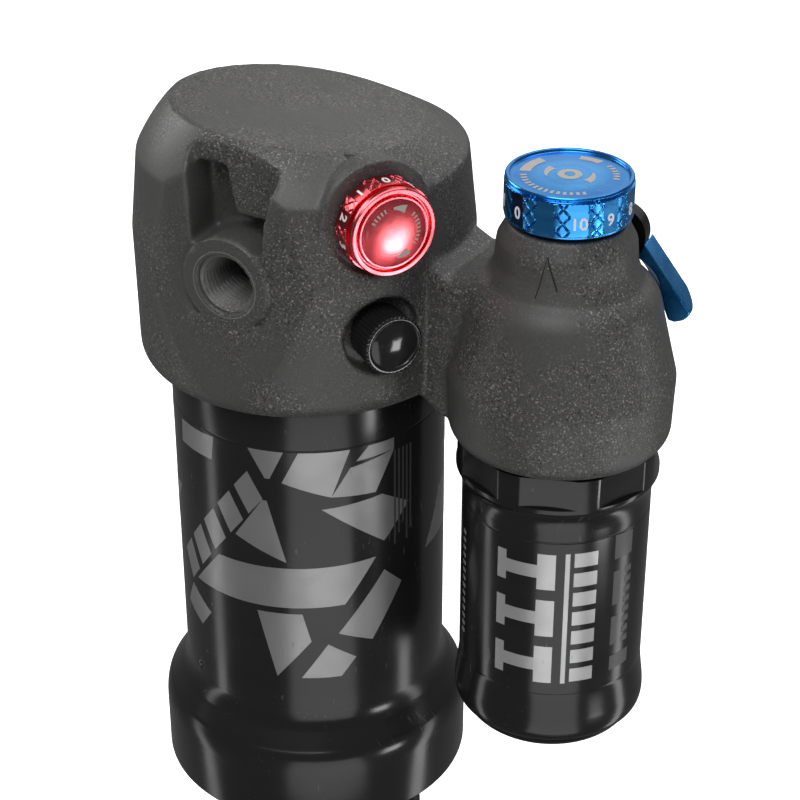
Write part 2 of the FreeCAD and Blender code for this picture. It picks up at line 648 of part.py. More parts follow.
def lower_eyelet():
    """End cap with the mounting eye."""
    cap = lathe([(0, -2.0), (10.2, -2.0), (10.2, 5.6), (14.2, 9.2, 0), (18.6, 11.2), (18.6, 13.8),
                 (17.9, STANCHION_BOTTOM), (STANCHION_BORE_R - FIT, STANCHION_BOTTOM),
                 (STANCHION_BORE_R - FIT, 23.5), (12.0, 23.5),
                 (12.0, 16.0), (0, 16.0)])
    eye = along_y(EYELET_R, -EYELET_HALF_WIDTH, EYELET_HALF_WIDTH)
    slab = box(-30, 30, -EYELET_HALF_WIDTH, EYELET_HALF_WIDTH, -20, EYELET_CLEAR)
    cap = cap.common(fused([slab, box(-30, 30, -30, 30, EYELET_CLEAR, 30)]))
    return cut_all(fused([cap, eye]), [along_y(BUSHING_R, -20, 20)])


add("stanchion_tube", ring(STANCHION_R, STANCHION_BORE_R, STANCHION_BOTTOM, STANCHION_TOP))
add("seal_head", seal_head())
add("air_piston_seal", ring(CAN_BORE_R - FIT, 19.95, 100.5, 103.3))
add("air_piston_bands", Part.makeCompound([ring(CAN_BORE_R - FIT, 20.45, 97.1, 99.1),
                                           ring(CAN_BORE_R - FIT, 20.45, 104.7, 106.7)]))
add("shaft_bushing", ring(8.58, SHAFT_R + FIT, 90.5, 94.9))
add("shaft_seal", ring(9.18, SHAFT_R + FIT, 100.6, 103.4))
add("lower_eyelet", lower_eyelet())
add("eyelet_bushing", ring_y(BUSHING_R - 0.01, PIN_R + RUN, -EYELET_HALF_WIDTH, EYELET_HALF_WIDTH))
add("travel_ring", torus(STANCHION_R + FIT + 1.3, 1.3, 55.8))
add("eyelet_pin", ring_y(PIN_R, EYELET_BORE_R, -HARDWARE_WIDTH / 2, HARDWARE_WIDTH / 2))
spacers = [ring_y(8.8, PIN_R + 0.01, *sorted((s * 8.4, s * 13.5))) for s in (-1, 1)]
add("eyelet_spacers", Part.makeCompound(spacers))
orings = [Part.makeTorus(8.2, 0.8, V(0, s * 7.5, 0), V(0, 1, 0)) for s in (-1, 1)]
add("eyelet_orings", Part.makeCompound(orings))

# ---- write each piece ---------------------------------------------------------------------
for name, shape in parts.items():
    shape.exportStep(os.path.join("parts", name + ".step"))
print(len(parts), "parts written")
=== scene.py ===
"""Piggyback air shock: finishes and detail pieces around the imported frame."""
import math

import bmesh
import bpy
import numpy as np
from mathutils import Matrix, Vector


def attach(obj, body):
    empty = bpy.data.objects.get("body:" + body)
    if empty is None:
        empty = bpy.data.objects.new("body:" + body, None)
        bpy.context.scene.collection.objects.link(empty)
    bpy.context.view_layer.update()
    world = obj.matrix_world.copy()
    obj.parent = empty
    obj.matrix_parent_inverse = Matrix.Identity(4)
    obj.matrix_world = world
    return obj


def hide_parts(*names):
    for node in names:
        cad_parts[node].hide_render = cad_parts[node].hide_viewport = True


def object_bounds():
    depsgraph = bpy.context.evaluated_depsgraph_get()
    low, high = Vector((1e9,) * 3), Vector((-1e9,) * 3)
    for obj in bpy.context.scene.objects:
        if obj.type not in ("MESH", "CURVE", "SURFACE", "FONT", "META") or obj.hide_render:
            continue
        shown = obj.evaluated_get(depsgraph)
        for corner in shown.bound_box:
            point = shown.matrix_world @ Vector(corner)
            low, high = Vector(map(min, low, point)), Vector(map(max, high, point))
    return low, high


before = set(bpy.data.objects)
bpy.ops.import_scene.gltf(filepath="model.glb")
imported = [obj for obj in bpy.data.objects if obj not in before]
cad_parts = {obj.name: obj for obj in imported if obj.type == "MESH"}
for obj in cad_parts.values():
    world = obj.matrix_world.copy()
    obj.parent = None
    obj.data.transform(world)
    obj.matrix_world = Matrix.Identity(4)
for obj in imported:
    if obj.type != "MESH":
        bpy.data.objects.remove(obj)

cad_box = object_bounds()

# ---- sizes of the shock, in millimetres --------------------------------------------------
MM = 0.001
TURN = 2.0 * math.pi
EYE_TO_TRUNNION = 185.0
CAN_R, CAN_BOTTOM, FLARE_R = 24.75, 74.2, 29.2
RES_X, RES_R, COLLAR_R = 49.3, 16.48, 17.6
PORT_ANGLE, REBOUND_Z, VALVE_Z = 55.0, 197.2, 176.8
KNOB_FACE, KNOB_FOOT = 33.6, 28.1                   # rebound knob, out along its own axis
CAP_TIP, CAP_FOOT = 34.1, 27.3                      # valve cap, out along its own axis
KNOB_LOW, KNOB_HIGH, KNOB_R = 197.0, 204.6, 10.6    # compression knob
PORT = math.radians(PORT_ANGLE)
PORT_OUT = (math.sin(PORT), -math.cos(PORT), 0.0)
PORT_SIDE = (math.cos(PORT), math.sin(PORT), 0.0)


# ---- node helpers -------------------------------------------------------------------------
def group(name, inputs, outputs):
    """An empty shader node group with its named sockets."""
    tree = bpy.data.node_groups.new(name, "ShaderNodeTree")
    for label, kind, value in inputs:
        socket = tree.interface.new_socket(label, in_out="INPUT", socket_type=kind)
        socket.default_value = value
    for label, kind in outputs:
        tree.interface.new_socket(label, in_out="OUTPUT", socket_type=kind)
    return tree, tree.nodes.new("NodeGroupInput"), tree.nodes.new("NodeGroupOutput")


def node(tree, kind, settings=None, **values):
    """A node with settings, and values or links for its inputs, by name or numbered i0, i1 and so on."""
    made = tree.nodes.new(kind)
    for key, value in (settings or {}).items():
        setattr(made, key, value)
    for label, value in values.items():
        numbered = label[0] == "i" and label[1:].isdigit()
        socket = made.inputs[int(label[1:]) if numbered else label]
        if isinstance(value, bpy.types.NodeSocket):
            tree.links.new(value, socket)
        else:
            socket.default_value = value
    return made


def send(tree, sink, **results):
    """Each result goes to the socket of its name."""
    for label, value in results.items():
        tree.links.new(value, sink.inputs[label])


def maths(tree, operation, *values):
    """Result socket of a Math node."""
    return node(tree, "ShaderNodeMath", {"operation": operation},
                **{"i%d" % i: v for i, v in enumerate(values)}).outputs[0]


def times(tree, a, b):
    return maths(tree, "MULTIPLY", a, b)


def vector_maths(tree, operation, *values):
    """Result socket of a Vector Math node, which is a number for a dot product or a length."""
    made = node(tree, "ShaderNodeVectorMath", {"operation": operation},
                **{"i%d" % i: v for i, v in enumerate(values)})
    return made.outputs["Value" if operation in ("DOT_PRODUCT", "LENGTH") else "Vector"]


def spread(tree, value, low, high, to_low=0.0, to_high=1.0):
    """Value carried from low..high to to_low..to_high, held at its ends."""
    ranges = {"From Min": low, "From Max": high, "To Min": to_low, "To Max": to_high}
    return node(tree, "ShaderNodeMapRange", {"clamp": True}, Value=value, **ranges).outputs["Result"]


def blend_colours(tree, share, a, b):
    """Colour a, changed to colour b by that share."""
    return node(tree, "ShaderNodeMix", {"data_type": "RGBA", "blend_type": "MIX"},
                i0=share, i6=a, i7=b).outputs[2]


def over(tree, colour, mask, share, top):
    """Colour with top laid over it where the mask is, by that share of the mask."""
    return blend_colours(tree, times(tree, mask, share), colour, top)


def noise(tree, place, scale, detail=3.0, rough=0.55):
    """Value of a Noise texture."""
    return node(tree, "ShaderNodeTexNoise", Vector=place, Scale=scale, Detail=detail,
                Roughness=rough).outputs[0]


def object_place(tree):
    return node(tree, "ShaderNodeTexCoord").outputs["Object"]


def scale_of(tree, source, label):
    """Noise scale that gives features of the size in that input, in metres: 1 / size."""
    return maths(tree, "DIVIDE", 1.0, source.outputs[label])


FLOAT, VECTOR = "NodeSocketFloat", "NodeSocketVector"
DUST_SCALE = 900.0                          # dust specks to a metre
EDGE_BREAK_SCALE = 700.0                          # breaks in the painted edge highlight, which also stands for edge wear, to a metre
HAIR_TURN, HAIR_SCALE = (0.4, 0.9, 0.3), (60.0, 2200.0, 300.0)


def make_grain():
    """Blasted grain: fine bumps with a scatter of darker pits and paler specks. Patches is wide noise,
    by which a finish fades the pits in and out over the part."""
    tree, source, sink = group(
        "blasted_grain", [("Size", FLOAT, 0.00045), ("Patch", FLOAT, 0.03)],
        [("Height", FLOAT), ("Pits", FLOAT), ("Specks", FLOAT), ("Patches", FLOAT)])
    place = object_place(tree)
    scale = scale_of(tree, source, "Size")
    fine = noise(tree, place, scale, 2.0, 0.6)
    coarse = noise(tree, place, times(tree, scale, 0.42), 2.0, 0.5)
    wide = noise(tree, place, scale_of(tree, source, "Patch"), 2.0, 0.5)
    pits = times(tree, spread(tree, fine, 0.50, 0.68), spread(tree, coarse, 0.40, 0.62, 0.15, 1.0))
    send(tree, sink, Height=maths(tree, "SUBTRACT", fine, times(tree, pits, 0.6)), Pits=pits,
         Specks=spread(tree, fine, 0.42, 0.30), Patches=spread(tree, wide, 0.38, 0.54))
    return tree


def make_turning():
    """Turned marks: rings about an axis, from noise over the distance along it and out from it."""
    tree, source, sink = group(
        "turned_marks",
        [("Centre", VECTOR, (0, 0, 0)), ("Axis", VECTOR, (0, 0, 1)), ("Pitch", FLOAT, 0.0003)],
        [("Height", FLOAT), ("Bands", FLOAT)])
    axis = source.outputs["Axis"]
    off = vector_maths(tree, "SUBTRACT", object_place(tree), source.outputs["Centre"])
    along = vector_maths(tree, "DOT_PRODUCT", off, axis)
    stem = node(tree, "ShaderNodeVectorMath", {"operation": "SCALE"}, Vector=axis, Scale=along)
    out = vector_maths(tree, "LENGTH", vector_maths(tree, "SUBTRACT", off, stem.outputs["Vector"]))
    lane = node(tree, "ShaderNodeCombineXYZ", X=along, Y=out, Z=0.0).outputs[0]
    scale = scale_of(tree, source, "Pitch")
    bands = noise(tree, lane, times(tree, scale, 0.08), 2.0, 0.5)
    send(tree, sink, Height=noise(tree, lane, scale, 2.0, 0.6), Bands=spread(tree, bands, 0.35, 0.65))
    return tree


def make_handling():
    """Handling marks: soft smudges, dust specks and short fine scratches."""
    tree, source, sink = group(
        "handling_marks", [("Size", FLOAT, 0.012)],
        [("Smudge", FLOAT), ("Dust", FLOAT), ("Scratch", FLOAT)])
    place = object_place(tree)
    scale = scale_of(tree, source, "Size")
    smudge = noise(tree, place, scale, 4.0, 0.6)
    thin = noise(tree, place, times(tree, scale, 2.3), 1.0, 0.4)
    specks = node(tree, "ShaderNodeTexVoronoi", Vector=place, Scale=DUST_SCALE).outputs["Distance"]
    hair = node(tree, "ShaderNodeMapping", Vector=place, Rotation=HAIR_TURN, Scale=HAIR_SCALE)
    lines = noise(tree, hair.outputs[0], 1.0, 1.0, 0.4)
    dust = times(tree, spread(tree, specks, 0.05, 0.12, 1.0, 0.0), spread(tree, thin, 0.55, 0.7))
    scratch = times(tree, spread(tree, lines, 0.70, 0.74), spread(tree, thin, 0.5, 0.62))
    send(tree, sink, Smudge=spread(tree, smudge, 0.35, 0.7), Dust=dust, Scratch=scratch)
    return tree


def make_edge_wear():
    """Painted edge highlight and hollow shade: Edge is where the surface is sharply convex, broken up by noise,
    the mask for a painted highlight that also stands for edge wear, and Hollow is where it is concave, the mask
    for painted shade."""
    tree, source, sink = group(
        "edge_highlight_and_hollow_shade", [("Start", FLOAT, 0.52), ("Full", FLOAT, 0.60)],
        [("Edge", FLOAT), ("Hollow", FLOAT)])
    bend = node(tree, "ShaderNodeNewGeometry").outputs["Pointiness"]
    broken = spread(tree, noise(tree, object_place(tree), EDGE_BREAK_SCALE, 3.0, 0.6), 0.35, 0.6, 0.35, 1.0)
    edge = spread(tree, bend, source.outputs["Start"], source.outputs["Full"])
    # Edge drives a painted highlight on sharp edges, also standing for edge wear; Hollow drives painted shade in
    # concave places.
    send(tree, sink, Edge=times(tree, edge, broken), Hollow=spread(tree, bend, 0.40, 0.49, 1.0, 0.0))
    return tree


GRAIN, TURNING, HANDLING, EDGE_LIGHT_AND_SHADE = make_grain(), make_turning(), make_handling(), make_edge_wear()


def place_group(tree, which, **values):
    """A group's outputs, with its inputs set."""
    return node(tree, "ShaderNodeGroup", {"node_tree": which}, **values).outputs


def shader(name, **sockets):
    """A material with its Principled shader, and numbers set on the shader's own sockets."""
    material = bpy.data.materials.new(name)
    material.use_nodes = True
    tree = material.node_tree
    bsdf = tree.nodes["Principled BSDF"]
    for label, value in sockets.items():
        bsdf.inputs[label.replace("_", " ")].default_value = value
    return material, tree, bsdf


def complete(tree, bsdf, colour, smudge, low, high, height, distance):
    """Colour, a roughness from low to high with the smudges, and a bump of that distance in metres."""
    tree.links.new(colour, bsdf.inputs["Base Color"])
    tree.links.new(spread(tree, smudge, 0.0, 1.0, low, high), bsdf.inputs["Roughness"])
    bump = node(tree, "ShaderNodeBump", Height=height, Distance=distance, Strength=1.0)
    tree.links.new(bump.outputs[0], bsdf.inputs["Normal"])


def grey(value, warm=0.0):
    return (value * (1 + warm), value, value * (1 - warm), 1.0)


def forged_finish(name, base=0.062, pits=0.95, size=0.00036):
    """Blasted and anodised forging: satin charcoal, pitted in patches, with a painted highlight on its edges
    that also stands for edge wear, and painted shade in its hollows.
    """
    material, tree, bsdf = shader(name, Metallic=0.0, Specular_IOR_Level=0.35)
    grain = place_group(tree, GRAIN, Size=size, Patch=0.016)
    marks = place_group(tree, HANDLING, Size=0.018)
    edge_light_and_shade = place_group(tree, EDGE_LIGHT_AND_SHADE, Start=0.53, Full=0.62)
    shown = times(tree, grain["Pits"], spread(tree, grain["Patches"], 0.0, 1.0, 0.20, pits))
    pale = times(tree, grain["Specks"], spread(tree, grain["Patches"], 0.0, 1.0, 0.12, 1.0))
    colour = blend_colours(tree, shown, grey(base, 0.02), grey(base * 0.06, 0.02))
    colour = blend_colours(tree, pale, colour, grey(base * 4.0, 0.04))
    # Painted highlight on sharp edges, also standing for edge wear.
    colour = over(tree, colour, edge_light_and_shade["Edge"], 0.35, grey(base * 2.4, 0.01))
    # Painted shade in concave hollows.
    colour = over(tree, colour, edge_light_and_shade["Hollow"], 0.45, grey(base * 0.3, 0.01))
    colour = over(tree, colour, marks["Dust"], 0.25, grey(0.25, 0.05))
    complete(tree, bsdf, colour, marks["Smudge"], 0.40, 0.50, grain["Height"], 0.00003)
    return material


def turned_metal(name, colour, deep, low, high, centre=(0, 0, 0), axis=(0, 0, 1), pitch=0.0003):
    """Bare or dyed metal: its colour in turned bands, with smudges and thin paler scratches."""
    material, tree, bsdf = shader(name, Metallic=1.0)
    turning = place_group(tree, TURNING, Centre=centre, Axis=axis, Pitch=pitch)
    marks = place_group(tree, HANDLING, Size=0.006)
    tint = blend_colours(tree, turning["Bands"], colour, deep)
    tint = over(tree, tint, marks["Scratch"], 0.25, SCRATCH_PALE)
    complete(tree, bsdf, tint, marks["Smudge"], low, high, turning["Height"], 0.000004)
    return material


def lacquered(name, base, low, high, centre=(0, 0, 0)):
    """Gloss black sleeve: dark body with faint drawn rings, smudges, dust and hair scratches."""
    material, tree, bsdf = shader(name, Metallic=0.0, Specular_IOR_Level=0.35)
    turning = place_group(tree, TURNING, Centre=centre, Axis=(0, 0, 1), Pitch=0.0006)
    marks = place_group(tree, HANDLING, Size=0.02)
    colour = over(tree, grey(base), turning["Bands"], 0.5, grey(base * 1.5))
    colour = over(tree, colour, marks["Dust"], 0.30, grey(0.30, 0.03))
    colour = over(tree, colour, marks["Scratch"], 0.12, grey(0.30))
    complete(tree, bsdf, colour, marks["Smudge"], low, high, turning["Height"], 0.000003)
    return material


def printed(name, shade, low=0.28, high=0.42, warm=0.0, metal=0.0):
    """Printed film: a plain tone with a fine fibre grain, slightly uneven and a little rubbed."""
    material, tree, bsdf = shader(name, Metallic=metal, Specular_IOR_Level=0.4)
    marks = place_group(tree, HANDLING, Size=0.008)
    grain = place_group(tree, GRAIN, Size=0.00025, Patch=0.01)
    colour = over(tree, grey(shade, warm), grain["Pits"], 0.18, grey(shade * 0.6, warm))
    colour = over(tree, colour, marks["Scratch"], 0.35, grey(shade * 0.45))
    complete(tree, bsdf, colour, marks["Smudge"], low, high, grain["Height"], 0.000005)
    return material


def moulded(name, base, low=0.42, high=0.6, height=0.000012):
    """Rubber or moulded plastic: fine matt texture with dust in it."""
    material, tree, bsdf = shader(name, Metallic=0.0, Specular_IOR_Level=0.4)
    grain = place_group(tree, GRAIN, Size=0.0003, Patch=0.01)
    marks = place_group(tree, HANDLING, Size=0.01)
    darker = tuple(0.5 * c for c in base[:3]) + (1.0,)
    colour = over(tree, base, grain["Pits"], 0.3, darker)
    colour = over(tree, colour, marks["Dust"], 0.35, grey(0.35, 0.04))
    complete(tree, bsdf, colour, marks["Smudge"], low, high, grain["Height"], height)
    return material


# ---- finishes -----------------------------------------------------------------------------
REBOUND_AXLE = (0.0, 0.0, REBOUND_Z * MM)
VALVE_AXLE = (0.0, 0.0, VALVE_Z * MM)
DIAL_AXLE = (RES_X * MM, 0.0, 0.0)
DYED_PITCH = 0.00028
SCRATCH_PALE = (0.7, 0.66, 0.66, 1.0)
RED, RED_DEEP = (0.86, 0.15, 0.17, 1), (0.74, 0.08, 0.10, 1)
BLUE, BLUE_DEEP = (0.06, 0.36, 0.80, 1), (0.03, 0.25, 0.66, 1)
BRASS, BRASS_DEEP = (0.72, 0.48, 0.16, 1), (0.60, 0.38, 0.12, 1)
BRONZE, BRONZE_DEEP = (0.45, 0.30, 0.16, 1), (0.36, 0.24, 0.12, 1)
GLIDE_BROWN = (0.20, 0.16, 0.10, 1.0)
FOAM_YELLOW = (0.45, 0.36, 0.08, 1.0)

FINISH = {
    "forged_head": forged_finish("forged_head_finish"),
    "gloss_black": lacquered("can_black", 0.010, 0.16, 0.24),
    "reservoir_black": lacquered("reservoir_black_finish", 0.009, 0.15, 0.23, DIAL_AXLE),
    "hard_anodised": turned_metal("hard_anodised_finish", grey(0.10, 0.03), grey(0.07, 0.03), 0.16, 0.26),
    "red_anodised": turned_metal("red_finish", RED, RED_DEEP, 0.16, 0.30, REBOUND_AXLE, PORT_OUT,
                                 DYED_PITCH),
    "blue_anodised": turned_metal("blue_finish", BLUE, BLUE_DEEP, 0.16, 0.30, DIAL_AXLE,
                                  pitch=DYED_PITCH),
    "black_anodised": turned_metal("black_anodised_finish", grey(0.035), grey(0.02), 0.25, 0.38, DIAL_AXLE),
    "plain_aluminium": turned_metal("machined_aluminium", grey(0.72), grey(0.62), 0.20, 0.34),
    "chrome_shaft": turned_metal("chromed", grey(0.75), grey(0.70), 0.05, 0.10),
    "steel": turned_metal("turned_steel", grey(0.50, 0.01), grey(0.42, 0.01), 0.22, 0.36),
    "brass": turned_metal("turned_brass", BRASS, BRASS_DEEP, 0.2, 0.34, VALVE_AXLE, PORT_OUT),
    "bronze": turned_metal("bronze_bush", BRONZE, BRONZE_DEEP, 0.26, 0.4, axis=(0, 1, 0)),
    "rubber": moulded("seal_rubber", grey(0.020)),
    "cap_plastic": moulded("cap_black_plastic", grey(0.012), 0.08, 0.16, 0.000002),
    "glide_plastic": moulded("glide_band_plastic", GLIDE_BROWN),
    "bumper_foam": moulded("bumper_foam_finish", FOAM_YELLOW),
}
INK_GREY = printed("can_print_grey", 0.26, metal=0.55)
INK_SILVER = printed("reservoir_print_silver", 0.42, metal=0.55)
INK_DIM = printed("print_dim_grey", 0.045)
INK_WHITE = printed("dial_white", 0.75, 0.3, 0.45)
LASER_GREY = printed("dial_laser_grey", 0.33, 0.35, 0.5, 0.08)
# Near-black strips lie on the surface where engraved grooves are: painted shade in place of cut grooves.
GROOVE_SHADE_STRIP = printed("painted_groove_shade", 0.006, 0.5, 0.7)
# The thread's crests get the painted edge highlight and its roots the painted hollow shade, so that the ridges
# read.
THREAD_METAL = forged_finish("tapped_thread", 0.11, 0.3, 0.00025)

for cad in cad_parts.values():
    for index, material in enumerate(cad.data.materials):
        slot_name = material.name.split(".")[0]
        if slot_name in FINISH:
            cad.data.materials[index] = FINISH[slot_name]


# ---- surfaces -----------------------------------------------------------------------------
def grid_faces(rows, columns, loop_rows=False, loop_columns=True):
    """Quads of a grid of points, closed on itself along either side if asked."""
    i, j = np.meshgrid(np.arange(rows if loop_rows else rows - 1),
                       np.arange(columns if loop_columns else columns - 1), indexing="ij")
    i2, j2 = (i + 1) % rows, (j + 1) % columns
    corners = (i * columns + j, i * columns + j2, i2 * columns + j2, i2 * columns + j)
    return np.stack(corners, -1).reshape(-1, 4)


def shell_faces(rows, columns):
    """Quads of a thin closed shell: a grid of points, the same grid under it, and the wall round both."""
    count = rows * columns
    top = grid_faces(rows, columns, loop_columns=False)
    rim = np.concatenate([np.arange(columns), np.arange(1, rows) * columns + columns - 1,
                          (rows - 1) * columns + np.arange(columns - 2, -1, -1),
                          np.arange(rows - 2, 0, -1) * columns])
    after = np.roll(rim, -1)
    return np.vstack([top, top[:, ::-1] + count, np.stack([rim, rim + count, after + count, after], 1)])


def finish_mesh(name, mesh, material, body, slot, replaced=(), crease=32.0):
    """Merge doubles, close poles, point faces outwards, shade, and hang the piece on its body."""
    bm = bmesh.new()
    bm.from_mesh(mesh)
    bmesh.ops.remove_doubles(bm, verts=bm.verts, dist=2e-7)
    bmesh.ops.dissolve_degenerate(bm, edges=bm.edges, dist=2e-8)
    bmesh.ops.recalc_face_normals(bm, faces=bm.faces)
    bm.to_mesh(mesh)
    bm.free()
    mesh.shade_smooth()
    mesh.set_sharp_from_angle(angle=math.radians(crease))
    mesh.materials.clear()
    mesh.materials.append(material)
    piece = bpy.data.objects.new(name, mesh)
    bpy.context.scene.collection.objects.link(piece)
    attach(piece, body)
    if replaced:
        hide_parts(*replaced)
    return piece


def mesh_piece(name, points, faces, *rest, **more):
    """A piece from points in millimetres and quads."""
    mesh = bpy.data.meshes.new(name)
    mesh.vertices.add(len(points))
    mesh.vertices.foreach_set("co", (np.asarray(points) * MM).astype(np.float32).ravel())
    faces = np.asarray(faces, dtype=np.int32)
    sides = faces.shape[1]
    mesh.loops.add(faces.size)
    mesh.loops.foreach_set("vertex_index", faces.ravel())
    mesh.polygons.add(len(faces))
    mesh.polygons.foreach_set("loop_start", np.arange(0, faces.size, sides, dtype=np.int32))
    mesh.update(calc_edges=True)
    return finish_mesh(name, mesh, *rest, **more)


def soften(outline, radius=0.25, closed=True, steps=4):
    """Every corner of an outline becomes a short parabola that starts at most radius along its sides:
    (1 - t)^2 * start + 2 t (1 - t) * corner + t^2 * end."""
    corners = np.asarray(outline, float)
    before, after = np.roll(corners, 1, 0), np.roll(corners, -1, 0)
    to_before, to_after = before - corners, after - corners
    span = lambda v: np.maximum(np.linalg.norm(v, axis=1, keepdims=True), 1e-9)
    start = corners + to_before * np.minimum(radius / span(to_before), 0.45)
    end = corners + to_after * np.minimum(radius / span(to_after), 0.45)
    t = np.linspace(0.0, 1.0, steps)[None, :, None]
    curve = (1 - t) ** 2 * start[:, None] + 2 * t * (1 - t) * corners[:, None] + t ** 2 * end[:, None]
    if closed:
        return curve.reshape(-1, 2)
    middle = curve[1:-1].reshape(-1, 2)
    return np.vstack([corners[:1], middle, corners[-1:]])


def arc_through(a, middle, b, steps=8):
    """Points of a parabola from a to b that passes through middle, without its last point."""
    a, middle, b = (np.asarray(p, float) for p in (a, middle, b))
    t = np.linspace(0.0, 1.0, steps, endpoint=False)[:, None]
    control = 2 * middle - (a + b) / 2
    return (1 - t) ** 2 * a + 2 * t * (1 - t) * control + t ** 2 * b


def closer_rows(outline, step):
    """More points along an open outline, so that none are further apart than about step."""
    points = np.asarray(outline, float)
    run = np.concatenate([[0.0], np.cumsum(np.linalg.norm(np.diff(points, axis=0), axis=1))])
    where = np.unique(np.concatenate([run, np.arange(0.0, run[-1], step)]))
    return np.stack([np.interp(where, run, points[:, 0]), np.interp(where, run, points[:, 1])], 1)


def turned(outline, segments=256, relief=None, closed=True):
    """Surface of revolution: point (r, h) of the outline goes to (r cos a, r sin a, h) at every angle a.
    relief(a, r, h) may return a changed r, for flats, ribs and knurling."""
    rows = np.asarray(outline, float)
    a = np.arange(segments) * (TURN / segments)
    r = np.repeat(rows[:, :1], segments, 1)
    h = np.repeat(rows[:, 1:], segments, 1)
    angle = np.repeat(a[None, :], len(rows), 0)
    if relief is not None:
        r = relief(angle, r, h)
    points = np.stack([r * np.cos(angle), r * np.sin(angle), h], -1).reshape(-1, 3)
    return points, grid_faces(len(rows), segments, loop_rows=closed)


UP = np.array([0.0, 0.0, 1.0])


def to_port(points, height):
    """Points built along +Z lie along the port axis at that height: x runs to the right as seen from
    outside, y up and z out."""
    return (points[:, :1] * np.array(PORT_SIDE) + points[:, 1:2] * UP + points[:, 2:3] * np.array(PORT_OUT)
            + height * UP)


def wrap_to(value, period):
    """Signed distance from the nearest whole number of periods: v - p * round(v / p)."""
    return value - period * np.round(value / period)


def knurl(angle, height, radius, pitch=2.3, tall=2.6, width=0.10):
    """Two sets of crossing grooves: 1 in the middle of a groove and 0 on the diamonds."""
    u = angle * radius / pitch
    w = height / tall
    first = np.clip(1 - np.abs(wrap_to(u + w, 1.0)) / width, 0, 1)
    second = np.clip(1 - np.abs(wrap_to(u - w, 1.0)) / width, 0, 1)
    return np.maximum(first, second)


def forged_copy(node_name, name, voxel, rounds, body, slot, material, shape=None, ratio=None):
    """The node's own surface, remeshed on a fine lattice and relaxed, so that its edges are soft."""
    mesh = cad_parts[node_name].data.copy()
    bm = bmesh.new()
    bm.from_mesh(mesh)
    bmesh.ops.remove_doubles(bm, verts=bm.verts, dist=1e-6)
    bm.to_mesh(mesh)
    bm.free()
    worker = bpy.data.objects.new(name + "_work", mesh)
    bpy.context.scene.collection.objects.link(worker)
    remesh = worker.modifiers.new("remesh", "REMESH")
    remesh.mode = "VOXEL"
    remesh.voxel_size = voxel * MM
    smooth = worker.modifiers.new("relax", "SMOOTH")
    smooth.factor = 0.5
    smooth.iterations = rounds
    if ratio:
        thin = worker.modifiers.new("thin", "DECIMATE")
        thin.ratio = ratio
    graph = bpy.context.evaluated_depsgraph_get()
    made = bpy.data.meshes.new_from_object(worker.evaluated_get(graph), depsgraph=graph)
    bpy.data.objects.remove(worker)
    if shape is not None:
        co = np.zeros(len(made.vertices) * 3, np.float32)
        made.vertices.foreach_get("co", co)
        co = shape(co.reshape(-1, 3).astype(float) / MM) * MM
        made.vertices.foreach_set("co", co.astype(np.float32).ravel())
    made.name = name
    return finish_mesh(name, made, material, body, slot, (node_name,), crease=180.0)


# ---- forged head --------------------------------------------------------------------------
THREAD_R, THREAD_ROOT = 4.5, 5.0
THREAD_IN, THREAD_OUT = 13.9, 25.75     # inner and outer end of the thread, along the trunnion axis
HOLE_R, HOLE_END = 5.2, 13.7            # hole made for the thread piece
BOSS_R, BOSS_FACE = 8.15, 27.0          # flat ring round the hole
APRON_R, APRON_FACE = 9.2, 26.15        # lower flat round the boss
HEAD_VOXEL, LEVER_VOXEL = 0.46, 0.13


def open_trunnion(points):
    """Pushes the wall of each trunnion hole out to leave room for the separate thread, and trims the
    boss round it to a flat ring that stands proud of the flank."""
    y, z = points[:, 1], points[:, 2] - EYE_TO_TRUNNION
    r = np.hypot(points[:, 0], z)
    inside = (np.abs(y) > HOLE_END) & (r < HOLE_R) & (r > 2.5)
    grow = np.where(inside, HOLE_R / np.maximum(r, 1e-6), 1.0)
    moved = points.copy()
    moved[:, 0] = points[:, 0] * grow
    moved[:, 2] = EYE_TO_TRUNNION + z * grow
    face = (np.abs(y) > 25.6) & (r > HOLE_R + 0.1) & (r < BOSS_R)
    apron = (np.abs(y) > APRON_FACE) & (r >= BOSS_R) & (r < APRON_R) & (z > -6.5)
    moved[face, 1] = np.sign(y[face]) * BOSS_FACE
    moved[apron, 1] = np.sign(y[apron]) * APRON_FACE
    return moved


forged_copy("head_forging", "forged_head_body", HEAD_VOXEL, 3, "shock_body", "forged_head",
            FINISH["forged_head"], open_trunnion, 0.62)
forged_copy("lever_blade", "lever_finger", LEVER_VOXEL, 3, "compression_lever", "blue_anodised",
            FINISH["blue_anodised"], None, 0.5)


def thread_insert(side):
    """Tapped hole of 1 mm pitch: each row is a ring whose radius rises and falls along a helix,
    r = crest + depth * (1 - 2 |w|), where w is y - a / turn less its nearest whole number. It opens
    into a chamfer at the face."""
    rows = np.linspace(THREAD_IN, THREAD_OUT, 120)
    segments = 96
    a = np.arange(segments) * (TURN / segments)
    phase = wrap_to(rows[:, None] - a[None, :] / TURN, 1.0)
    r = THREAD_R + (THREAD_ROOT - THREAD_R) * (1 - 2 * np.abs(phase))
    mouth = np.array([[5.3, 26.2], [5.85, 27.02], [6.05, 27.02], [6.05, 26.6], [5.5, 25.6], [5.5, 13.6]])
    r = np.vstack([r, np.repeat(mouth[:, :1], segments, 1)])
    y = np.concatenate([rows, mouth[:, 1]])
    y = np.repeat(y[:, None], segments, 1) * side
    points = np.stack([r * np.cos(a), y, EYE_TO_TRUNNION + r * np.sin(a)], -1).reshape(-1, 3)
    return points, grid_faces(len(r), segments, loop_rows=True)


for side, label in ((-1, "front"), (1, "back")):
    mesh_piece("trunnion_thread_" + label, *thread_insert(side), THREAD_METAL, "shock_body", "forged_head",
               crease=28.0)


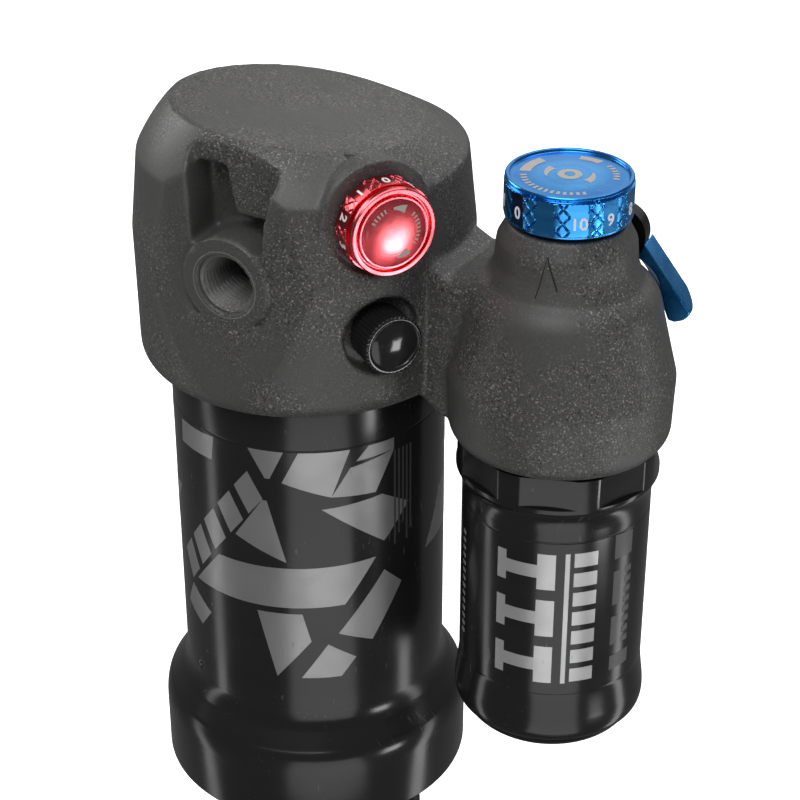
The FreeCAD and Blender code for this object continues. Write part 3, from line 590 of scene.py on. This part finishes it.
# ---- air can ------------------------------------------------------------------------------
CAN_GROOVE = 153.3                                  # foot of the fine groove round the sleeve
DIMPLE_ANGLE, DIMPLE_Z, DIMPLE_DEPTH, DIMPLE_SPREAD = -31.0, 99.8, 0.55, 0.55


def can_relief(angle, r, h):
    """A small round dimple low on the sleeve: depth * exp(-distance^2 / spread)."""
    azimuth = angle + math.pi / 2
    across = wrap_to(azimuth - math.radians(DIMPLE_ANGLE), TURN) * CAN_R
    d2 = across ** 2 + (h - DIMPLE_Z) ** 2
    return np.where(r > 24.0, r - DIMPLE_DEPTH * np.exp(-d2 / DIMPLE_SPREAD), r)


can_outline = np.vstack([
    [(20.6, CAN_BOTTOM + 0.4), (20.9, CAN_BOTTOM), (FLARE_R - 0.5, CAN_BOTTOM), (FLARE_R, CAN_BOTTOM + 0.5)],
    arc_through((FLARE_R, 86.3), (28.85, 88.9), (27.9, 90.6)),
    [(27.9, 90.6)],
    arc_through((26.2, 93.1), (25.05, 95.3), (CAN_R, 97.8)),
    [(CAN_R, 97.8), (CAN_R, CAN_GROOVE), (CAN_R - 0.07, 153.38), (CAN_R - 0.07, 153.55), (CAN_R, 153.63),
     (CAN_R, 161.5), (23.8, 161.7), (23.8, 167.4), (22.5, 167.4), (22.5, 94.0), (25.6, 90.5), (25.6, 85.0),
     (18.3, 85.0), (18.3, 76.6), (20.6, 76.6)]])
can_outline = soften(can_outline, 0.22)
# Closer rows where the dimple is.
dimple_rows = np.stack([np.full(30, CAN_R), np.linspace(98.0, 103.0, 30)], 1)
cut = int(np.argmax((can_outline[:, 0] > 24.7) & (can_outline[:, 1] > 103.0)))
can_outline = np.vstack([can_outline[:cut], dimple_rows, can_outline[cut:]])
mesh_piece("can_sleeve", *turned(can_outline, 384, can_relief), FINISH["gloss_black"], "shock_body",
           "gloss_black", ("air_can",), crease=30.0)


# ---- reservoir ----------------------------------------------------------------------------
COLLAR_FLATS, FLAT_ANGLE, FLAT_REACH, FLATS_FROM = 8, 62.7, 16.9, 151.25


def collar_relief(angle, r, h):
    """Flats ground on the collar: r is at most reach / cos(angle from the middle of the flat)."""
    off = wrap_to(angle - math.radians(FLAT_ANGLE), TURN / COLLAR_FLATS)
    return np.where((h > FLATS_FROM) & (r > 16.8), np.minimum(r, FLAT_REACH / np.cos(off)), r)


reservoir_outline = np.vstack([
    [(14.4, 102.5)], arc_through((16.6, 102.5), (17.15, 104.1), (16.9, 107.5)),
    arc_through((16.9, 107.5), (16.5, 111.1), (RES_R, 112.5)),
    [(RES_R, 112.5), (RES_R, 143.95), (RES_R - 0.07, 144.02), (RES_R - 0.07, 144.2), (RES_R, 144.27),
     (RES_R, 146.2)],
    arc_through((RES_R, 146.2), (16.8, 148.9), (COLLAR_R, 150.4)),
    [(COLLAR_R, 150.4), (COLLAR_R, 151.2), (COLLAR_R, 151.3), (COLLAR_R, 156.9), (15.7, 156.9), (15.7, 164.2),
     (14.4, 164.2)]])
points, faces = turned(soften(reservoir_outline, 0.15), 384, collar_relief)
mesh_piece("reservoir_sleeve", points + [RES_X, 0, 0], faces, FINISH["reservoir_black"], "shock_body",
           "reservoir_black", ("reservoir_tube",), crease=24.0)


# ---- printed shapes -----------------------------------------------------------------------
PRINT_PROUD, PRINT_SUNK = 0.035, -0.03


def printed_patches(name, corner_sets, radius, x, material, slot, body="shock_body", across=24, up=10):
    """Four-cornered patches on a tube. Corners are (azimuth in degrees from -Y towards +X, height), the
    inside is their bilinear blend, and each patch is a thin shell that stands just proud of the tube."""
    s, t = np.meshgrid(np.linspace(0, 1, across), np.linspace(0, 1, up))
    shares = ((1 - s) * (1 - t), s * (1 - t), s * t, (1 - s) * t)
    shells, faces = [], []
    for index, corners in enumerate(corner_sets):
        c = np.asarray(corners, float)
        flat = shares[0][..., None] * c[0] + shares[1][..., None] * c[1] \
            + shares[2][..., None] * c[2] + shares[3][..., None] * c[3]
        azimuth, height = np.radians(flat[..., 0]), flat[..., 1]
        surface = radius(height) if callable(radius) else radius
        for lift in (PRINT_PROUD, PRINT_SUNK):
            r = surface + lift
            place = np.stack([x + r * np.sin(azimuth), -r * np.cos(azimuth), height], -1)
            shells.append(place.reshape(-1, 3))
        faces.append(shell_faces(up, across) + 2 * across * up * index)
    return mesh_piece(name, np.vstack(shells), np.vstack(faces), material, body, slot, crease=40.0)


def block(left, right, top, foot):
    """Corners of an upright rectangle."""
    return [(left, top), (right, top), (right, foot), (left, foot)]


CAN_SHAPES = [
    [(4, 153.2), (19, 153.2), (13, 147.6), (11, 147.6)],
    [(25, 153.2), (46, 153.2), (38, 144.0), (18, 147.0)],
    [(46, 149.5), (66, 151.0), (57, 143.4), (38, 144.0)],
    [(54, 153.2), (66, 153.2), (66, 151.0), (48.5, 150.6)],
    [(34, 141.6), (60, 142.6), (74, 138.8), (61, 132.6)],
    [(9.5, 143.0), (11.5, 143.0), (19, 130.4), (-3.5, 134.5)],
    [(-13, 128.6), (57, 129.8), (43, 121.0), (-29, 120.0)],
    [(5.5, 119.2), (25, 119.4), (28.5, 113.4), (13.5, 105.2)],
    [(35.5, 112.6), (47.5, 109.0), (41, 105.2), (24, 105.2)],
    [(61, 126.4), (70, 122.4), (55, 112.0), (40, 114.8)],
    [(-36, 152.2), (-13, 153.0), (-14.5, 148.2), (-37, 147.6)],
    [(-34, 117.6), (-20, 114.2), (-27, 110.0), (-40, 112.4)],
    [(112, 150.0), (150, 152.0), (134, 141.0), (104, 143.0)],
    [(100, 136.0), (168, 138.0), (152, 127.0), (86, 126.0)],
    [(118, 121.0), (140, 122.0), (128, 108.0), (122, 108.0)],
    [(150, 120.0), (176, 122.0), (166, 109.0), (152, 111.0)],
    [(196, 152.0), (238, 153.0), (222, 141.0), (188, 144.0)],
    [(188, 137.0), (262, 138.5), (246, 128.0), (176, 126.5)],
    [(206, 121.0), (228, 121.5), (216, 107.0), (210, 107.0)],
    [(240, 122.0), (262, 119.0), (254, 111.0), (236, 112.0)],
    [(276, 150.0), (304, 152.0), (296, 141.0), (270, 143.0)],
    [(284, 136.0), (318, 137.0), (306, 128.0), (276, 127.0)],
]
SLANT = [[(-40.0 + 9.2 * i, 124.0 + 5.2 * i), (-33.5 + 9.2 * i, 127.6 + 5.2 * i),
          (-27.0 + 9.2 * i, 122.4 + 5.2 * i), (-33.5 + 9.2 * i, 118.8 + 5.2 * i)] for i in range(5)]
FINE_LINES = [block(66.0 + 2.2 * i, 66.9 + 2.2 * i, 150.6, 131.0 + 2.0 * (i % 3)) for i in range(5)]
printed_patches("can_print", CAN_SHAPES + SLANT, CAN_R, 0.0, INK_GREY, "gloss_black")
printed_patches("can_small_print", FINE_LINES, CAN_R, 0.0, INK_DIM, "gloss_black", across=4, up=24)

BLOCKS = []
for low, high in ((134.6, 141.8), (124.9, 132.4), (115.0, 122.7)):
    middle = 0.5 * (low + high)
    BLOCKS += [block(13.0, 24.0, high, low), block(-12.5, -6.5, high - 0.6, low + 0.6),
               block(-6.5, 13.0, middle + 1.3, middle - 1.3)]
BAR = [block(29.6, 32.4, 142.0, 114.9)]
SMALL_BLOCKS = [block(35.0, 49.6, 142.0 - 4.0 * i, 139.2 - 4.0 * i) for i in range(7)]
LEFT_LINES = [block(-50.0, -46.0, 139.0 - 1.6 * i, 138.2 - 1.6 * i) for i in range(14)]
SIDE_BLOCKS = [[(61.5, 144.0), (76.0, 143.6), (76.0, 139.0), (61.5, 139.0)],
               block(61.5, 67.0, 136.5, 129.5), block(61.5, 67.0, 127.0, 121.0),
               block(62.0, 78.0, 118.6, 115.6)]
SIDE_LINES = [block(71.0, 76.5, 136.5 - 2.1 * i, 135.3 - 2.1 * i) for i in range(8)]
printed_patches("reservoir_print", BLOCKS + SMALL_BLOCKS + BAR + LEFT_LINES, RES_R, RES_X, INK_SILVER,
                "reservoir_black", across=10, up=10)
printed_patches("reservoir_side_print", SIDE_BLOCKS + SIDE_LINES, RES_R, RES_X, INK_DIM,
                "reservoir_black", across=10, up=8)


# ---- engraved marks on the head: dark strips of painted groove shade ----------------------
def neck_radius(h):
    """Neck of the reservoir head: straight runs between turned diameters."""
    return np.interp(h, [186.4, 189.4, 193.4, 196.5], [13.1, 11.9, 11.6, 9.9])


def bevel_radius(h):
    """Bevel round the crown, where the index mark is: a swelling cone."""
    return np.interp(h, [200.4, 204.5, 206.9], [28.5, 25.9, 21.9])


POINTER = [[(6.4, 194.5), (7.4, 194.6), (17.0, 189.2), (16.1, 188.9)],
           [(6.6, 194.5), (7.2, 194.5), (0.6, 187.5), (0.0, 187.7)]]
INDEX_TICK = [[(48.4, 206.8), (56.6, 206.3), (56.2, 205.3), (51.4, 205.1)]]
printed_patches("neck_pointer", POINTER, neck_radius, RES_X, GROOVE_SHADE_STRIP, "forged_head", across=12, up=8)
printed_patches("index_tick", INDEX_TICK, bevel_radius, -0.5, GROOVE_SHADE_STRIP, "forged_head", across=12, up=8)


# ---- rebound knob -------------------------------------------------------------------------
REBOUND_ZERO = 92.6          # place of the zero as seen from outside, in degrees clockwise from the left
REBOUND_FLATS, REBOUND_STEP, REBOUND_REACH = 10, 36.0, 7.72
REBOUND_DOME = KNOB_FACE + 0.38


def facing(degrees):
    """Angle in the knob's own turned frame of a place seen that far clockwise from the left."""
    return 180.0 - degrees


def rebound_relief(angle, r, h):
    """Numbered flats with knurled panels between them."""
    off = wrap_to(angle - math.radians(facing(REBOUND_ZERO)), TURN / REBOUND_FLATS)
    flat = np.minimum(r, REBOUND_REACH / np.cos(off))
    panel = r - 0.26 * knurl(angle, h, 8.0, 1.9, 2.2, 0.12)
    side = (r > 7.3) & (h < 31.95)
    return np.where(side, np.where(np.abs(off) < math.radians(10.0), flat, panel), r)


def dome(r, top, radius=36.0):
    """Height of a dome of that radius: top - radius + sqrt(radius^2 - r^2)."""
    return top - radius + np.sqrt(radius ** 2 - r ** 2)


face_r = np.linspace(5.7, 0.0, 14)
domed = np.stack([face_r, dome(face_r, REBOUND_DOME)], 1)
face_outline = soften([
    (0.0, 31.0), (2.3, 31.0), (2.3, KNOB_FOOT), (3.4, KNOB_FOOT), (3.4, 30.6), (6.9, 30.6), (6.9, KNOB_FOOT),
    (7.85, KNOB_FOOT), (8.05, KNOB_FOOT + 0.25), (7.92, 31.9), (7.0, 31.9), (7.0, 32.45), (7.35, 32.45),
    (7.6, 32.75), (7.6, KNOB_FACE - 0.25), (7.4, KNOB_FACE), (6.75, KNOB_FACE), (6.65, KNOB_FACE - 0.55),
    (6.35, KNOB_FACE - 0.55), (6.2, KNOB_FACE - 0.02), (5.8, KNOB_FACE - 0.02), (5.7, KNOB_FACE - 0.1)],
    0.07, closed=False)
face_outline = closer_rows(np.vstack([face_outline, domed]), 0.13)
points, faces = turned(face_outline, 540, rebound_relief, closed=False)
mesh_piece("rebound_dial", to_port(points, REBOUND_Z), faces, FINISH["red_anodised"], "rebound_adjuster",
           "red_anodised", ("rebound_knob",), crease=26.0)


# ---- compression knob ---------------------------------------------------------------------
DIAL_ZERO = -27.8            # azimuth of the zero position, from -Y towards +X
DIAL_FLATS, DIAL_STEP, DIAL_REACH = 12, 30.0, KNOB_R - 0.1


def dial_relief(angle, r, h):
    """Flats with knurled panels between them."""
    off = wrap_to(angle - math.radians(DIAL_ZERO - 90.0), TURN / DIAL_FLATS)
    flat = np.minimum(r, DIAL_REACH / np.cos(off))
    panel = r - 0.28 * knurl(angle, h, KNOB_R, 2.22, 2.6)
    side = (r > 10.3) & (h > KNOB_LOW + 0.95) & (h < KNOB_HIGH - 1.0)
    return np.where(side, np.where(np.abs(off) < math.radians(7.9), flat, panel), r)


dial_outline = soften([
    (0.0, 202.0), (2.45, 202.0), (2.45, KNOB_LOW), (4.6, KNOB_LOW), (4.6, 201.6), (9.0, 201.6),
    (9.0, KNOB_LOW), (9.6, KNOB_LOW), (10.45, KNOB_LOW + 0.55), (10.5, KNOB_LOW + 0.9), (KNOB_R, KNOB_LOW + 1.0),
    (KNOB_R, KNOB_HIGH - 1.05), (10.2, KNOB_HIGH - 0.95), (10.25, KNOB_HIGH - 0.75), (10.5, KNOB_HIGH - 0.35),
    (10.3, KNOB_HIGH), (9.8, KNOB_HIGH), (9.6, KNOB_HIGH - 0.5), (9.0, KNOB_HIGH - 0.5),
    (0.0, KNOB_HIGH - 0.3)],
    0.10, closed=False)
points, faces = turned(closer_rows(dial_outline, 0.15), 600, dial_relief, closed=False)
mesh_piece("compression_dial", points + [RES_X, 0, 0], faces, FINISH["blue_anodised"], "compression_adjuster",
           "blue_anodised", ("compression_knob",), crease=26.0)


# ---- valve cap ----------------------------------------------------------------------------
CAP_RIBS = 40


def cap_relief(angle, r, h):
    """Round-bottomed ribs down the side and a toothed rim round the end."""
    wave = 0.5 + 0.5 * np.cos(angle * CAP_RIBS)
    ribs = (r > 4.8) & (h > CAP_FOOT + 0.5) & (h < CAP_TIP - 1.2)
    teeth = (r > 4.85) & (h > CAP_TIP - 1.15)
    return np.where(ribs, r - 0.22 * wave ** 2, np.where(teeth, r - 0.20 * wave ** 3, r))


cap_outline = soften([
    (0.0, 32.4), (4.05, 32.4), (4.05, CAP_FOOT), (5.0, CAP_FOOT), (5.08, CAP_TIP - 1.25),
    (5.25, CAP_TIP - 1.05),
    (5.25, CAP_TIP - 0.55), (4.85, CAP_TIP - 0.3), (4.4, CAP_TIP - 0.35), (4.2, CAP_TIP - 0.55)],
    0.12, closed=False)
cap_end = np.linspace(4.1, 0.0, 14)
cap_outline = np.vstack([cap_outline, np.stack([cap_end, dome(cap_end, CAP_TIP, 16.0)], 1)])
points, faces = turned(closer_rows(cap_outline, 0.3), 480, cap_relief, closed=False)
mesh_piece("air_valve_cap", to_port(points, VALVE_Z), faces, FINISH["cap_plastic"], "valve_cap",
           "cap_plastic", ("valve_cap",), crease=30.0)


# ---- lettering on the dials ---------------------------------------------------------------
def text_points(word, size):
    """Filled outline of a dial number as points and polygons, in millimetres, centred on its own box."""
    curve = bpy.data.curves.new("number_" + word, "FONT")
    curve.body = word
    curve.size = size
    curve.align_x, curve.align_y = "CENTER", "CENTER"
    curve.extrude = 0.05
    curve.offset = 0.05
    curve.resolution_u = 4
    worker = bpy.data.objects.new("number_work", curve)
    bpy.context.scene.collection.objects.link(worker)
    graph = bpy.context.evaluated_depsgraph_get()
    mesh = bpy.data.meshes.new_from_object(worker.evaluated_get(graph), depsgraph=graph)
    bpy.data.objects.remove(worker)
    co = np.zeros(len(mesh.vertices) * 3, np.float32)
    mesh.vertices.foreach_get("co", co)
    return co.reshape(-1, 3).astype(float), [tuple(p.vertices) for p in mesh.polygons]


def number_piece(name, words, place, material, body, slot, size):
    """All numbers of one dial in one piece; place(points, index) puts each on its flat."""
    points, faces, count = [], [], 0
    for index, word in words:
        co, polygons = text_points(word, size)
        points.append(place(co, index))
        faces += [tuple(v + count for v in p) for p in polygons]
        count += len(co)
    mesh = bpy.data.meshes.new(name)
    mesh.from_pydata((np.vstack(points) * MM).tolist(), [], faces)
    return finish_mesh(name, mesh, material, body, slot)


def dial_number(co, index):
    """Number on a flat of the upright dial: x runs round, y up and z out."""
    azimuth = math.radians(DIAL_ZERO - DIAL_STEP * index)
    out = np.array([math.sin(azimuth), -math.cos(azimuth), 0.0])
    side = np.array([math.cos(azimuth), math.sin(azimuth), 0.0])
    return (np.array([RES_X, 0, 200.1]) + co[:, :1] * side + co[:, 1:2] * UP
            + (DIAL_REACH + co[:, 2:3]) * out)


def rebound_number(co, index):
    """Number on a flat of the rebound dial: y runs towards the face, x round and z out."""
    a = math.radians(facing(REBOUND_ZERO - REBOUND_STEP * index))
    out = np.array([math.cos(a), math.sin(a), 0.0])
    side = np.array([math.sin(a), -math.cos(a), 0.0])
    local = 30.0 * UP + co[:, 1:2] * UP - co[:, :1] * side + (REBOUND_REACH + co[:, 2:3]) * out
    return to_port(local, REBOUND_Z)


number_piece("compression_numbers", [(i, str(i)) for i in range(11)], dial_number, INK_WHITE,
             "compression_adjuster", "blue_anodised", 2.9)
number_piece("rebound_numbers", [(i, str(i)) for i in range(10)], rebound_number, INK_WHITE,
             "rebound_adjuster", "red_anodised", 2.6)

MARK_PROUD, MARK_SUNK, MARK_ROWS, MARK_STEPS = 0.04, -0.06, 6, 24


def flat_marks(rings, height_of):
    """Ring sectors (inner radius, outer radius, from angle, to angle, taper) as thin closed shells on a
    face whose height is height_of(r)."""
    points, faces = [], []
    s, t = np.meshgrid(np.linspace(0, 1, MARK_STEPS), np.linspace(0, 1, MARK_ROWS))
    for index, (inner, outer, a0, a1, taper) in enumerate(rings):
        a = np.radians(a0 + (a1 - a0) * s)
        half = 0.5 * (outer - inner) * (1 - taper * s)
        r = 0.5 * (inner + outer) + half * (2 * t - 1)
        for lift in (MARK_PROUD, MARK_SUNK):
            points.append(np.stack([r * np.cos(a), r * np.sin(a), height_of(r) + lift], -1).reshape(-1, 3))
        faces.append(shell_faces(MARK_ROWS, MARK_STEPS) + 2 * MARK_ROWS * MARK_STEPS * index)
    return np.vstack(points), np.vstack(faces)


REBOUND_MARKS = [(3.6, 5.0, facing(118), facing(88), 0.75), (3.6, 5.0, facing(235), facing(265), 0.75)]
REBOUND_MARKS += [(4.0, 4.7, facing(first + 9 * i), facing(first + 4 + 9 * i), 0.0)
                  for first, count in ((30, 5), (140, 9)) for i in range(count)]
points, faces = flat_marks(REBOUND_MARKS, lambda r: dome(r, REBOUND_DOME))
mesh_piece("rebound_dial_marks", to_port(points, REBOUND_Z), faces, LASER_GREY, "rebound_adjuster",
           "red_anodised")

DIAL_MARKS = [(6.4, 8.2, 150.0, 195.0, 0.0), (6.6, 8.0, 70.0, 100.0, 0.0), (0.9, 2.0, 0.0, 359.0, 0.0),
              (3.0, 4.6, 160.0, 215.0, 0.8), (3.0, 4.6, -20.0, 35.0, 0.8)]
DIAL_MARKS += [(7.0, 8.0, first + 8.0 * i, first + 4.0 + 8.0 * i, 0.0)
               for first, count in ((205.0, 14), (12.0, 6)) for i in range(count)]
points, faces = flat_marks(DIAL_MARKS, lambda r: KNOB_HIGH - 0.3 - 0.2 * r / 9.0)
mesh_piece("compression_dial_marks", points + [RES_X, 0, 0], faces, LASER_GREY, "compression_adjuster",
           "blue_anodised")

# ---- floor, light and camera --------------------------------------------------------------
FLOOR_GAP, FLOOR_REACH, FLOOR_GLOW = 0.0004, 4.0, 0.85     # metres, metres, emission strength
WORLD_STRENGTH = 0.15

floor_z = cad_box[0].z - FLOOR_GAP
floor_mesh = bpy.data.meshes.new("floor")
floor_mesh.from_pydata([(x * FLOOR_REACH, y * FLOOR_REACH, floor_z)
                        for x, y in ((-1, -1), (1, -1), (1, 1), (-1, 1))], [], [(0, 1, 2, 3)])
floor_material, floor_tree, floor_bsdf = shader(
    "pale_floor", Roughness=0.9, Specular_IOR_Level=0.1, Emission_Color=(1, 1, 1, 1),
    Emission_Strength=FLOOR_GLOW)
paper = noise(floor_tree, object_place(floor_tree), 300.0)
paper_tone = blend_colours(floor_tree, paper, grey(0.93), grey(0.95))
floor_tree.links.new(paper_tone, floor_bsdf.inputs["Base Color"])
floor_mesh.materials.append(floor_material)
floor = bpy.data.objects.new("floor", floor_mesh)
bpy.context.scene.collection.objects.link(floor)
floor.visible_glossy = False
floor.visible_diffuse = False
floor.visible_shadow = False

world = bpy.data.worlds.new("studio")
bpy.context.scene.world = world
world.use_nodes = True
backdrop = world.node_tree.nodes["Background"]
backdrop.inputs["Color"].default_value = (1.0, 1.0, 1.0, 1.0)
backdrop.inputs["Strength"].default_value = WORLD_STRENGTH

BODY_AIM, HEAD_AIM, PORT_AIM = (0.02, 0.0, 0.13), (0.0, 0.0, 0.19), (0.028, -0.02, 0.187)
BACK_AIM = (0.03, 0.0, 0.19)
# name, azimuth and elevation in degrees, distance, width and height in metres, power in watts, aim
SOFT_BOXES = [
    ("key_box", 10.0, 55.0, 0.9, 0.6, 0.5, 5.0, BODY_AIM),
    ("top_box", 150.0, 72.0, 0.9, 0.8, 0.8, 4.5, BODY_AIM),
    ("front_low_band", 34.0, -30.0, 0.45, 0.38, 0.30, 0.62, BODY_AIM),
    ("back_box", 178.0, 22.0, 0.8, 1.0, 0.36, 0.9, BACK_AIM),
    ("port_box", 84.0, -28.0, 0.32, 0.07, 0.07, 0.16, PORT_AIM),
    ("left_box", -92.0, 24.0, 0.6, 0.3, 0.3, 1.4, HEAD_AIM),
    ("right_strip", 115.0, -25.0, 0.6, 0.10, 0.6, 0.6, BODY_AIM),
    ("left_strip", -62.0, -22.0, 0.6, 0.08, 0.6, 0.3, BODY_AIM),
]


def soft_box(name, azimuth, elevation, distance, width, height, power, aim):
    """Rectangular soft light, out of the camera's sight, that faces the aim point."""
    a, e = math.radians(azimuth), math.radians(elevation)
    out = Vector((math.sin(a) * math.cos(e), -math.cos(a) * math.cos(e), math.sin(e)))
    data = bpy.data.lights.new(name, "AREA")
    data.shape, data.size, data.size_y, data.energy = "RECTANGLE", width, height, power
    lamp = bpy.data.objects.new(name, data)
    lamp.location = Vector(aim) + out * distance
    lamp.rotation_mode = "QUATERNION"
    lamp.rotation_quaternion = out.to_track_quat("Z", "Y")
    lamp.visible_camera = False
    bpy.context.scene.collection.objects.link(lamp)


for row in SOFT_BOXES:
    soft_box(*row)

CAMERA_PLACE, CAMERA_FACING = (0.16695, -0.28738, 0.33864), (-0.3986, 0.7722, -0.4947)
SENSOR_WIDTH, FOCAL_LENGTH = 36.0, 94.016
CLIP_NEAR, CLIP_FAR = 0.01, 20.0

camera_data = bpy.data.cameras.new("camera")
camera_data.sensor_width = SENSOR_WIDTH
camera_data.lens = FOCAL_LENGTH
camera_data.clip_start, camera_data.clip_end = CLIP_NEAR, CLIP_FAR
camera = bpy.data.objects.new("camera", camera_data)
camera.location = CAMERA_PLACE
camera.rotation_mode = "QUATERNION"
camera.rotation_quaternion = Vector(CAMERA_FACING).to_track_quat("-Z", "Y")
bpy.context.scene.collection.objects.link(camera)
bpy.context.scene.camera = camera
bpy.context.scene.view_settings.view_transform = "Standard"
